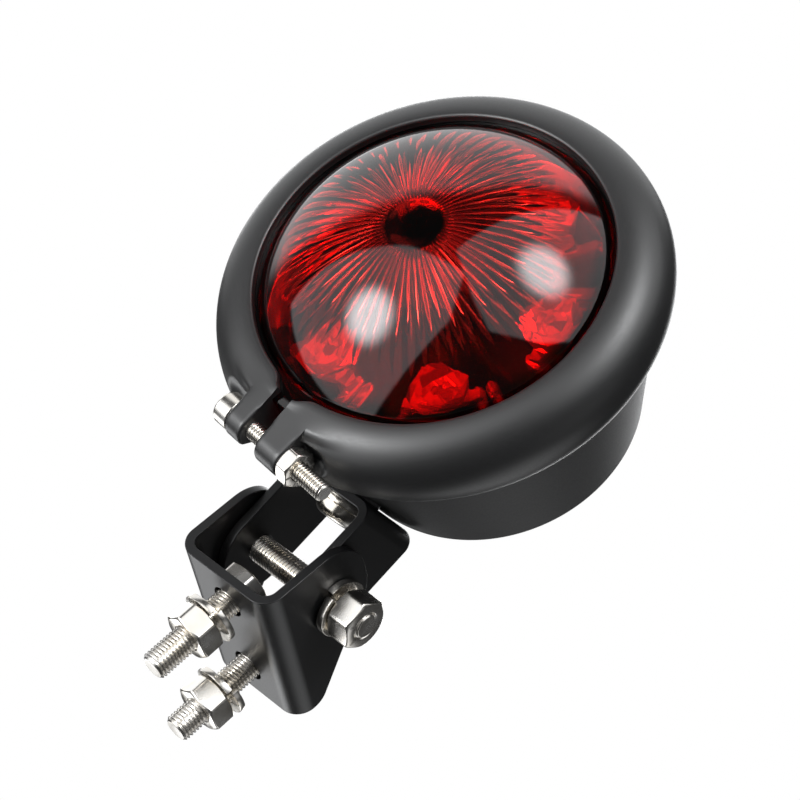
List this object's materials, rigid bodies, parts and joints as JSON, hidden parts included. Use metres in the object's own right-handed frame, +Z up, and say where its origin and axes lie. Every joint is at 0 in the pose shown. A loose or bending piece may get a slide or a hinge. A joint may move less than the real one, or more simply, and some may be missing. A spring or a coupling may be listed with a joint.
{
  "type": "motorcycle tail light",
  "caption": "Round bucket tail light with a domed red lens, a split clamp ring and a tilting two-piece bracket on two mounting bolts.",
  "frame": {"origin": "centre of the base bracket's underside, midway between the two mounting bolts", "axes": "+Z up, away from the fender; the lens looks along -Y, nodding 10 degrees down; the tilt axis runs along X with its nut at +X"},
  "size_m": [0.092, 0.0869, 0.1319],
  "materials": {
    "bracket_paint": "satin",
    "housing_paint": "satin",
    "ring_paint": "satin",
    "bright_steel": "bright nickel",
    "black_rubber": "matte",
    "red_lens": "gloss",
    "reflector_coat": "metallised",
    "clear_optic": "clear",
    "led_body": "gloss",
    "dark_plastic": "matte",
    "board_laminate": "solder mask",
    "brass_pillar": "machined",
    "connector_plastic": "moulded",
    "resistor_body": "moulded",
    "capacitor_can": "satin"
  },
  "bodies": {
    "base": {"base_bracket": "bracket_paint", "mounting_bolts": "bright_steel", "mounting_lock_washers": "bright_steel", "mounting_nuts": "bright_steel", "pivot_bolt": "bright_steel", "pivot_flat_washer": "bright_steel", "pivot_lock_washer": "bright_steel", "pivot_nut": "bright_steel"},
    "lamp": {"arm_bracket": "bracket_paint", "housing": "housing_paint", "clamp_ring": "ring_paint", "bracket_screw": "bright_steel", "bracket_lock_washer": "bright_steel", "bracket_nut": "bright_steel", "clamp_screw": "bright_steel", "clamp_nut": "bright_steel", "board_screws": "bright_steel", "cable_grommet": "black_rubber", "lens_gasket": "black_rubber", "lens": "red_lens", "reflector": "reflector_coat", "optic_blocks": "clear_optic", "leds": "led_body", "centre_post": "dark_plastic", "led_board": "board_laminate", "board_standoffs": "brass_pillar", "wire_connector": "connector_plastic", "drive_resistors": "resistor_body", "drive_capacitor": "capacitor_can"}
  },
  "joints": [
    {"name": "tilt", "type": "hinge", "parent": "base", "child": "lamp", "pos_m": [0, -0.0045, 0.0158], "axis": [1, 0, 0], "range_deg": [-90, 70]}
  ]
}
